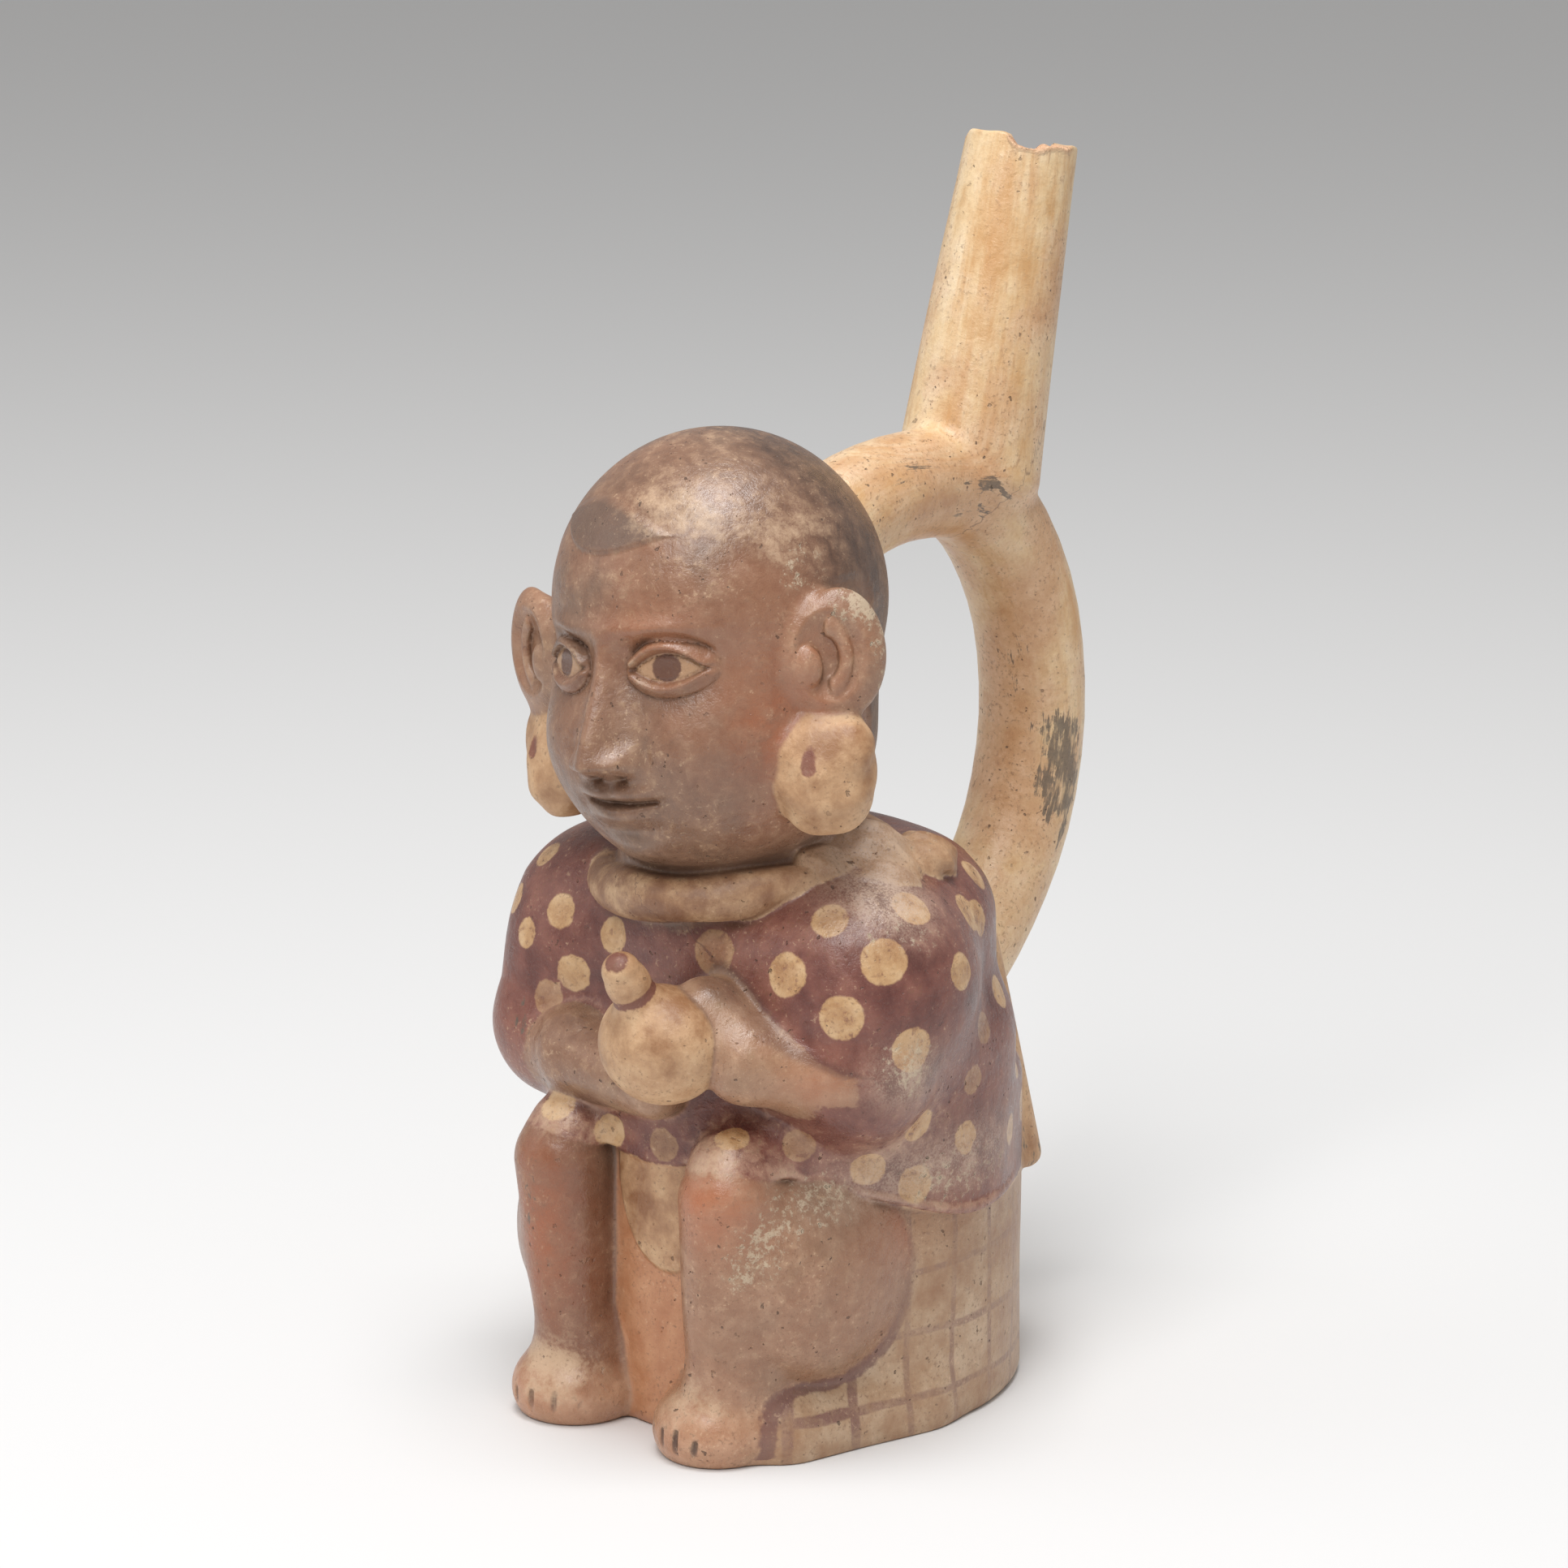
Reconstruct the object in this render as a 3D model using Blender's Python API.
"""A stirrup spout vessel: a seated figure in fired clay, hollow, with a stirrup and a spout behind it.

Metres, +Z up. The figure looks along -Y and its left side is +X. The origin is the middle of the
flat underside, on the surface that the vessel stands on.

The whole vessel is one piece of clay. Each form is laid down as simple balls, limbs and tubes,
which are melted into one skin and softened. The chamber and the bores are made the same way, from
the same forms drawn in by the wall, and are cut out at the end.
"""

import math

import bmesh
import bpy
import numpy as np
from mathutils import Matrix, Vector

for old in list(bpy.data.objects):
    bpy.data.objects.remove(old)

# Driving dimensions, in metres
FIGURE_HEIGHT = 0.1715
WALL = 0.0046
TUBE_WALL = 0.0040
STIRRUP_RADIUS = 0.0096
STIRRUP_REACH = 0.0713
STIRRUP_CREST = 0.1546
SPOUT_LENGTH = 0.0620
SPOUT_FOOT_RADIUS = 0.0130
SPOUT_TOP_RADIUS = 0.0099
SPOUT_SETBACK = 0.0510
SPOUT_LEAN = math.radians(14.5)

# The figure's own proportions are in units, 171.5 of them from the floor to the crown
UNIT = FIGURE_HEIGHT / 171.5
HEAD_TILT = math.radians(-6.0)
HEAD_PIVOT = (0.0, -16.0, 130.0)

# How fine the skins are
COARSE = 0.0015
FINE = 0.0009
OUTER_FACES = 7600
CHAMBER_FACES = 1800
BASE_TRIM = 0.0015
BLEND_LAP = 0.0010


def begin():
    return bmesh.new()


def ball(clay, centre, radii, turn=0.0):
    """An ellipsoid in units, turned about the vertical by so many degrees."""
    place = Matrix.Translation(Vector(centre) * UNIT) @ Matrix.Rotation(math.radians(turn), 4, "Z")
    size = Matrix.Diagonal(Vector(radii) * UNIT).to_4x4()
    bmesh.ops.create_icosphere(clay, subdivisions=4, radius=1.0, matrix=place @ size)


def limb(clay, start, end, start_radius, end_radius):
    """Two balls in units and the hull around them."""
    pair = begin()
    for point, radius in ((start, start_radius), (end, end_radius)):
        place = Matrix.Translation(Vector(point) * UNIT)
        bmesh.ops.create_icosphere(pair, subdivisions=3, radius=radius * UNIT, matrix=place)
    hull = begin()
    for vert in pair.verts:
        hull.verts.new(vert.co)
    pair.free()
    inner = bmesh.ops.convex_hull(hull, input=hull.verts[:])["geom_interior"]
    bmesh.ops.delete(hull, geom=[g for g in inner if isinstance(g, bmesh.types.BMVert)], context="VERTS")
    mesh = bpy.data.meshes.new("Limb")
    hull.to_mesh(mesh)
    hull.free()
    add(clay, mesh)


def drum(clay, middle_y, half_width, half_depth, low, high, low_round, high_round):
    """An upright oval drum in metres, its lower and upper edges rounded."""
    steps = 6
    rings = []
    turns = [math.tau * k / 72 for k in range(72)]
    for height, edge, sign in ((low, low_round, -1), (high, high_round, 1)):
        for k in range(steps + 1):
            slope = math.pi / 2 * k / steps
            if sign < 0:
                inset, rise = edge * (1 - math.sin(slope)), edge * (1 - math.cos(slope))
                level = height + rise
            else:
                inset, rise = edge * (1 - math.cos(slope)), edge * (1 - math.sin(slope))
                level = height - rise
            wide = half_width - inset
            deep = half_depth - inset
            rings.append([clay.verts.new((wide * math.cos(t), middle_y + deep * math.sin(t), level)) for t in turns])
    for lower, upper in zip(rings[:-1], rings[1:]):
        for k in range(len(turns)):
            after = (k + 1) % len(turns)
            clay.faces.new((lower[k], lower[after], upper[after], upper[k]))
    clay.faces.new(rings[0][::-1])
    clay.faces.new(rings[-1])


def ring(clay, place, half_width, half_depth, thickness, turns=64, sides=16):
    """An oval ring of round section, lying flat in the frame that place gives."""
    loops = []
    for k in range(turns):
        turn = math.tau * k / turns
        loop = []
        for j in range(sides):
            round_it = math.tau * j / sides
            out = thickness * math.cos(round_it)
            point = Vector(((half_width + out) * math.cos(turn), (half_depth + out) * math.sin(turn),
                            thickness * math.sin(round_it)))
            loop.append(clay.verts.new(place @ point))
        loops.append(loop)
    for k in range(turns):
        here, after = loops[k], loops[(k + 1) % turns]
        for j in range(sides):
            clay.faces.new((here[j], after[j], after[(j + 1) % sides], here[(j + 1) % sides]))


def melt(name, clay, cell, rounds):
    """Melts overlapping shapes into one skin of even faces and softens it."""
    mesh = bpy.data.meshes.new(name)
    clay.to_mesh(mesh)
    clay.free()
    lump = bpy.data.objects.new(name, mesh)
    bpy.context.scene.collection.objects.link(lump)
    skin = lump.modifiers.new("Skin", "REMESH")
    skin.mode = "VOXEL"
    skin.voxel_size = cell
    if rounds:
        soft = lump.modifiers.new("Soften", "SMOOTH")
        soft.factor = 0.5
        soft.iterations = rounds
    return settle(lump)


def settle(lump):
    """The mesh that the object's modifiers give, with the object taken away."""
    graph = bpy.context.evaluated_depsgraph_get()
    mesh = bpy.data.meshes.new_from_object(lump.evaluated_get(graph), depsgraph=graph)
    bpy.data.objects.remove(lump)
    return mesh


def add(clay, mesh, matrix=None):
    """Lays a finished mesh into the clay."""
    if matrix is not None:
        mesh.transform(matrix)
    clay.from_mesh(mesh)
    bpy.data.meshes.remove(mesh)


def points_of(mesh):
    points = np.empty(len(mesh.vertices) * 3, np.float32)
    mesh.vertices.foreach_get("co", points)
    return points.reshape(-1, 3)


def bump(x, z, at, wide, high):
    return np.exp(-(((x - at[0]) / wide) ** 2) - ((z - at[1]) / high) ** 2)


def step(value, low, high):
    t = np.clip((value - low) / (high - low), 0, 1)
    return t * t * (3 - 2 * t)


# The body's masses, which the chamber follows
def seat(clay, inset):
    drum(clay, 6.5 * UNIT, 37.4 * UNIT - inset, 39.5 * UNIT - inset, inset - BASE_TRIM, 60 * UNIT - inset,
         max(4 * UNIT, inset * 0.8), 6 * UNIT)


def torso(clay, inset):
    drum(clay, 3 * UNIT, 36.5 * UNIT - inset, 34 * UNIT - inset, 36 * UNIT + inset, 98 * UNIT - inset,
         6 * UNIT, 14 * UNIT)
    less = inset / UNIT
    for side in (1, -1):
        limb(clay, (0, -3, 78), (26 * side, -10.5, 78.5), 19 - less, 19.8 - less)
        limb(clay, (27 * side, -10.5, 79), (31.5 * side, -20.5, 65), 18.6 - less, 14.2 - less)


def neck(clay, inset):
    less = inset / UNIT
    limb(clay, (0, -8, 86), (0, -12, 110), 22 - less, 20 - less)


def skull(clay, inset):
    less = inset / UNIT
    ball(clay, (1.2, -15.5, 143), (28.2 - less, 29 - less, 28.5 - less))
    ball(clay, (0, -18.5, 122), (28.4 - less, 27.2 - less, 25.8 - less))


def head_tilt():
    pivot = Matrix.Translation(Vector(HEAD_PIVOT) * UNIT)
    return pivot @ Matrix.Rotation(HEAD_TILT, 4, "Y") @ pivot.inverted()


# The head
EYE_LEVEL = 135.5
EYE_APART = 11.4
CHIN_LEVEL = 99.0


def face_relief(x, z):
    """How far the calm, even face stands out from the plain front of the head, in units."""
    side = np.abs(x)
    push = 2.0 * bump(side, z, (9.5, 141.6), 8.5, 2.6)
    push -= 2.8 * bump(side, z, (EYE_APART, EYE_LEVEL), 7.4, 4.6)
    push += 3.6 * bump(side, z, (EYE_APART, EYE_LEVEL - 0.4), 5.0, 2.3)
    along = np.clip((140 - z) / 18, 0, 1)
    width = 2.2 + 2.0 * along
    push += (1.0 + 6.2 * along) * np.exp(-((x / width) ** 2)) * step(z, 117.6, 121.2) * step(-z, -144, -139)
    push += 2.6 * bump(side, z, (4.8, 121.4), 2.3, 2.4)
    push += 1.9 * bump(side, z, (1.5, 114.9), 6.0, 1.5)
    push += 2.2 * bump(side, z, (0, 110.9), 6.0, 1.8)
    push -= 1.1 * bump(side, z, (0, 113.1), 8.5, 0.8)
    push += 2.4 * bump(side, z, (0, 103.8), 8.0, 4.6)
    push += 1.0 * bump(side, z, (15.5, 121), 7.0, 7.0)
    return push


def shape_face(mesh):
    """Moves the front of the tilted head forward by the relief of the face."""
    mesh.transform(head_tilt().inverted())
    points = points_of(mesh)
    x, y, z = points.T / UNIT
    front = step(-y, 22, 34) * step(z, CHIN_LEVEL - 2, CHIN_LEVEL + 4) * (1 - step(np.abs(x), 22, 25))
    points[:, 1] -= UNIT * face_relief(x, z) * front
    mesh.vertices.foreach_set("co", points.ravel())
    mesh.transform(head_tilt())


def ear(clay, side):
    ball(clay, (29.0 * side, -24.5, 136.0), (5.0, 5.5, 9.0), 12 * side)
    ball(clay, (32.6 * side, -26.0, 136.0), (5.4, 3.2, 10.4), 12 * side)


def ear_ornament(clay, side):
    ball(clay, (29.2 * side, -25.0, 116.5), (8.6, 6.2, 9.4), 40 * side)
    ball(clay, (29.8 * side, -25.6, 112.5), (7.2, 6.4, 6.8), 40 * side)


def head():
    clay = begin()
    skull(clay, 0.0)
    round_head = melt("Skull", clay, COARSE, 30)
    clay = begin()
    add(clay, round_head)
    for side in (1, -1):
        ear(clay, side)
        ear_ornament(clay, side)
    return melt("Head", clay, FINE, 3)


# The clothes
def tunic():
    """The tunic over the body, cut along its hem: high over the knees and low at the sides."""
    clay = begin()
    torso(clay, 0.0)
    drum(clay, 3 * UNIT, 40 * UNIT, 36.5 * UNIT, 30 * UNIT, 74 * UNIT, 1 * UNIT, 10 * UNIT)
    ball(clay, (0, -24, 54), (20, 8, 12))
    for side in (1, -1):
        limb(clay, (18 * side, -20, 50), (18 * side, -33.5, 48.5), 11.5, 9.2)
    cloth = bpy.data.objects.new("Cloth", melt("Cloth", clay, COARSE, 24))
    bpy.context.scene.collection.objects.link(cloth)
    below = bpy.data.objects.new("Below the hem", below_the_hem())
    below.hide_render = True
    below.display_type = "WIRE"
    bpy.context.scene.collection.objects.link(below)
    trim = cloth.modifiers.new("Hem", "BOOLEAN")
    trim.operation = "DIFFERENCE"
    trim.solver = "EXACT"
    trim.object = below
    mesh = settle(cloth)
    bpy.data.objects.remove(below)
    return mesh


def hem_height(x, y):
    side = step(y, -34, 6)
    knees = np.exp(-(((np.abs(x) - 19) / 8.5) ** 2)) * (1 - side)
    return 48.5 - 10 * side + 4.0 * knees


def below_the_hem():
    """A block whose top is the surface that the hem follows."""
    clay = begin()
    bmesh.ops.create_grid(clay, x_segments=40, y_segments=40, size=70 * UNIT)
    for vert in clay.verts:
        vert.co.z = UNIT * float(hem_height(vert.co.x / UNIT, vert.co.y / UNIT))
    floor = bmesh.ops.extrude_face_region(clay, geom=clay.faces[:])
    for vert in (g for g in floor["geom"] if isinstance(g, bmesh.types.BMVert)):
        vert.co.z = -20 * UNIT
    bmesh.ops.recalc_face_normals(clay, faces=clay.faces[:])
    mesh = bpy.data.meshes.new("Below the hem")
    clay.to_mesh(mesh)
    clay.free()
    return mesh


def back_panel():
    """The cloth that hangs down the back, a curved sheet with a thickness."""
    clay = begin()
    bmesh.ops.create_grid(clay, x_segments=24, y_segments=24, size=1.0)
    for vert in clay.verts:
        drop = (1 - vert.co.y) / 2
        half = 17 + 11 * drop
        x = vert.co.x * half
        deep = 32.0 + 12.5 * drop
        wide = 36.5 + 5.5 * drop
        y = 3 + deep * math.sqrt(1 - (x / wide) ** 2) - 6 * (1 - min(1, drop * 5)) ** 2
        vert.co = Vector((x, y, 92 - 57 * drop)) * UNIT
    mesh = bpy.data.meshes.new("Panel")
    clay.to_mesh(mesh)
    clay.free()
    panel = bpy.data.objects.new("Panel", mesh)
    bpy.context.scene.collection.objects.link(panel)
    sheet = panel.modifiers.new("Sheet", "SOLIDIFY")
    sheet.thickness = 6 * UNIT
    sheet.offset = 0.0
    return settle(panel)


def collar(clay):
    """The thick neckband, a tilted ring, with its knot on the left shoulder."""
    place = Matrix.Translation(Vector((0, -9.5, 98.5)) * UNIT) @ Matrix.Rotation(math.radians(11), 4, "X")
    place = place @ Matrix.Rotation(HEAD_TILT, 4, "Y")
    ring(clay, place, 22.5 * UNIT, 23 * UNIT, 4.6 * UNIT)
    ball(clay, (23.5, -6.0, 101.5), (6.0, 5.6, 5.2))
    ball(clay, (26.0, 2.0, 98.6), (5.4, 6.6, 4.8))
    ball(clay, (20.5, -14.5, 99.5), (5.6, 5.4, 4.8))


# The limbs and what the figure holds
def arms(clay):
    limb(clay, (34.5, -20, 60), (19, -34.0, 68.5), 9.0, 7.2)
    limb(clay, (19, -34.0, 68.5), (12.5, -36.0, 75.5), 7.2, 6.6)
    limb(clay, (-34.5, -20, 60), (-18, -33.0, 66), 9.0, 7.2)
    limb(clay, (-18, -33.0, 66), (-5, -36.0, 63.5), 7.2, 5.2)


def gourd(clay):
    ball(clay, (8.8, -41.0, 71.8), (11.4, 9.6, 11.0))
    limb(clay, (8.0, -42.5, 76), (7.2, -47.5, 84), 7.4, 4.2)
    limb(clay, (7.2, -47.5, 84), (7.0, -48.8, 86), 4.2, 3.4)


def legs(clay):
    for side in (1, -1):
        limb(clay, (18.5 * side, -35.8, 43.5), (17.2 * side, -34.5, 14), 8.5, 6.6)
        ball(clay, (23.0 * side, -17.5, 29), (13.4, 20.5, 23.5))
        foot = 15.0 if side > 0 else -17.4
        ball(clay, (foot, -33.8, 4.5), (11.2, 11.6, 8.8))
        ball(clay, (16.8 * side, -30.5, 12.5), (9.0, 9.6, 7.5))


# The stirrup and the spout
HEAD_EXIT = (8.0, 149.0)
BACK_LANDING = (32.0, 55.0)
# Shares of the way back, and of the way up, from where the stirrup lands to its crest
STIRRUP_SHARES = ((0.0, 0.944), (0.205, 0.986), (0.427, 1.0), (0.648, 0.979), (0.837, 0.873), (0.964, 0.713),
                  (1.0, 0.522), (0.932, 0.341), (0.782, 0.196), (0.585, 0.08), (0.379, 0.0))


def stirrup(radius):
    """The bent tube from the back of the head, up under the spout and down into the back."""
    start = HEAD_EXIT[0] * UNIT
    foot = BACK_LANDING[1] * UNIT
    curve = bpy.data.curves.new("Stirrup", "CURVE")
    curve.dimensions = "3D"
    curve.bevel_depth = radius
    curve.bevel_resolution = 8
    curve.resolution_u = 8
    curve.use_fill_caps = True
    spline = curve.splines.new("BEZIER")
    spline.bezier_points.add(len(STIRRUP_SHARES) - 1)
    for point, (back, up) in zip(spline.bezier_points, STIRRUP_SHARES):
        point.co = (0, start + (STIRRUP_REACH - start) * back, foot + (STIRRUP_CREST - foot) * up)
        point.handle_left_type = "AUTO"
        point.handle_right_type = "AUTO"
    tube = bpy.data.objects.new("Stirrup", curve)
    bpy.context.scene.collection.objects.link(tube)
    return settle(tube)


def spout_place(along):
    """The frame at so far along the spout's axis from its foot."""
    foot = Vector((0, SPOUT_SETBACK, STIRRUP_CREST - 0.0026))
    lean = Matrix.Rotation(-SPOUT_LEAN, 4, "X")
    return Matrix.Translation(foot) @ lean @ Matrix.Translation((0, 0, along))


def spout(clay, foot_radius, top_radius, start, end):
    slope = (top_radius - foot_radius) / SPOUT_LENGTH
    bmesh.ops.create_cone(
        clay, cap_ends=True, segments=64, depth=end - start,
        radius1=foot_radius + slope * start, radius2=foot_radius + slope * end,
        matrix=spout_place((start + end) / 2),
    )


def spout_root(clay):
    """The clay worked round the spout's foot, so that it runs into the stirrup."""
    depth = STIRRUP_RADIUS * 0.7
    bmesh.ops.create_cone(
        clay, cap_ends=True, segments=64, depth=depth,
        radius1=STIRRUP_RADIUS * 0.6, radius2=SPOUT_FOOT_RADIUS, matrix=spout_place(-depth / 2 + BLEND_LAP),
    )


# Bites out of the rim: degrees round it from the front, half width in degrees and depth
RIM_CHIPS = ((42, 21, 0.0016), (222, 32, 0.0019), (128, 22, 0.0012), (-58, 14, 0.0007))
CHIP_RUN = 0.006


def rim_loss(x, y):
    """How much of the rim is missing at a place seen along the spout's axis."""
    degrees = np.degrees(np.arctan2(x, -y))
    loss = np.zeros_like(degrees)
    for middle, half, depth in RIM_CHIPS:
        away = np.abs((degrees - middle + 180) % 360 - 180)
        loss += depth * (1 - step(away, half * 0.7, half * 1.3))
    return loss


def break_rim(mesh):
    """Lowers the rim where it's chipped."""
    mesh.transform(spout_place(0).inverted())
    points = points_of(mesh)
    x, y, along = points.T
    near = (np.hypot(x, y) < SPOUT_FOOT_RADIUS) * step(along, SPOUT_LENGTH - CHIP_RUN, SPOUT_LENGTH)
    points[:, 2] -= rim_loss(x, y) * near
    mesh.vertices.foreach_set("co", points.ravel())
    mesh.transform(spout_place(0))


# Putting it together
def outside():
    """The whole outer form, with no chamber yet."""
    clay = begin()
    seat(clay, 0.0)
    neck(clay, 0.0)
    legs(clay)
    body = melt("Body", clay, COARSE, 14)
    clay = begin()
    add(clay, body)
    add(clay, tunic())
    add(clay, back_panel())
    arms(clay)
    gourd(clay)
    collar(clay)
    add(clay, head(), head_tilt())
    add(clay, stirrup(STIRRUP_RADIUS))
    spout(clay, SPOUT_FOOT_RADIUS, SPOUT_TOP_RADIUS, 0.0, SPOUT_LENGTH)
    spout_root(clay)
    mesh = melt("Outside", clay, FINE, 6)
    shape_face(mesh)
    break_rim(mesh)
    return mesh


def chamber():
    """The hollow: the body's masses drawn in by the wall, with the bores of the stirrup and the spout."""
    clay = begin()
    seat(clay, WALL)
    torso(clay, WALL)
    neck(clay, WALL)
    body = melt("Hollow body", clay, COARSE, 14)
    clay = begin()
    skull(clay, WALL)
    skull_room = melt("Hollow head", clay, COARSE, 8)
    clay = begin()
    add(clay, body)
    add(clay, skull_room, head_tilt())
    add(clay, stirrup(STIRRUP_RADIUS - TUBE_WALL))
    spout(clay, SPOUT_FOOT_RADIUS - TUBE_WALL, SPOUT_TOP_RADIUS - TUBE_WALL, 0.0, SPOUT_LENGTH + 0.006)
    return melt("Chamber", clay, COARSE * 0.8, 1)


def thinned(name, mesh, faces):
    """An object of about so many triangles that keeps the mesh's form."""
    lump = bpy.data.objects.new(name, mesh)
    bpy.context.scene.collection.objects.link(lump)
    thin = lump.modifiers.new("Thin", "DECIMATE")
    thin.ratio = faces / (2 * len(mesh.polygons))
    thin.use_collapse_triangulate = True
    return settle(lump)


def trim_base(mesh):
    """Cuts the underside flat on the ground plane."""
    clay = begin()
    clay.from_mesh(mesh)
    cut = bmesh.ops.bisect_plane(
        clay, geom=clay.verts[:] + clay.edges[:] + clay.faces[:], dist=1e-6,
        plane_co=(0, 0, 0), plane_no=(0, 0, 1), clear_inner=True,
    )
    rim = [g for g in cut["geom_cut"] if isinstance(g, bmesh.types.BMEdge)]
    bmesh.ops.holes_fill(clay, edges=rim)
    bmesh.ops.recalc_face_normals(clay, faces=clay.faces[:])
    clay.to_mesh(mesh)
    clay.free()


def fired_clay():
    """Burnished slip over red clay."""
    finish = bpy.data.materials.new("Burnished clay")
    finish.use_nodes = True
    shader = finish.node_tree.nodes["Principled BSDF"]
    shader.inputs["Base Color"].default_value = (0.36, 0.19, 0.12, 1)
    shader.inputs["Roughness"].default_value = 0.48
    shader.inputs["Metallic"].default_value = 0.0
    return finish


def vessel():
    form = thinned("Form", outside(), OUTER_FACES)
    trim_base(form)
    pot = bpy.data.objects.new("vessel", form)
    bpy.context.scene.collection.objects.link(pot)
    room = bpy.data.objects.new("Chamber", thinned("Room", chamber(), CHAMBER_FACES))
    bpy.context.scene.collection.objects.link(room)
    room.hide_render = True
    room.display_type = "WIRE"
    hollow = pot.modifiers.new("Hollow", "BOOLEAN")
    hollow.operation = "DIFFERENCE"
    hollow.solver = "EXACT"
    hollow.object = room
    form.materials.append(fired_clay())
    form.shade_smooth()
    return pot


vessel()
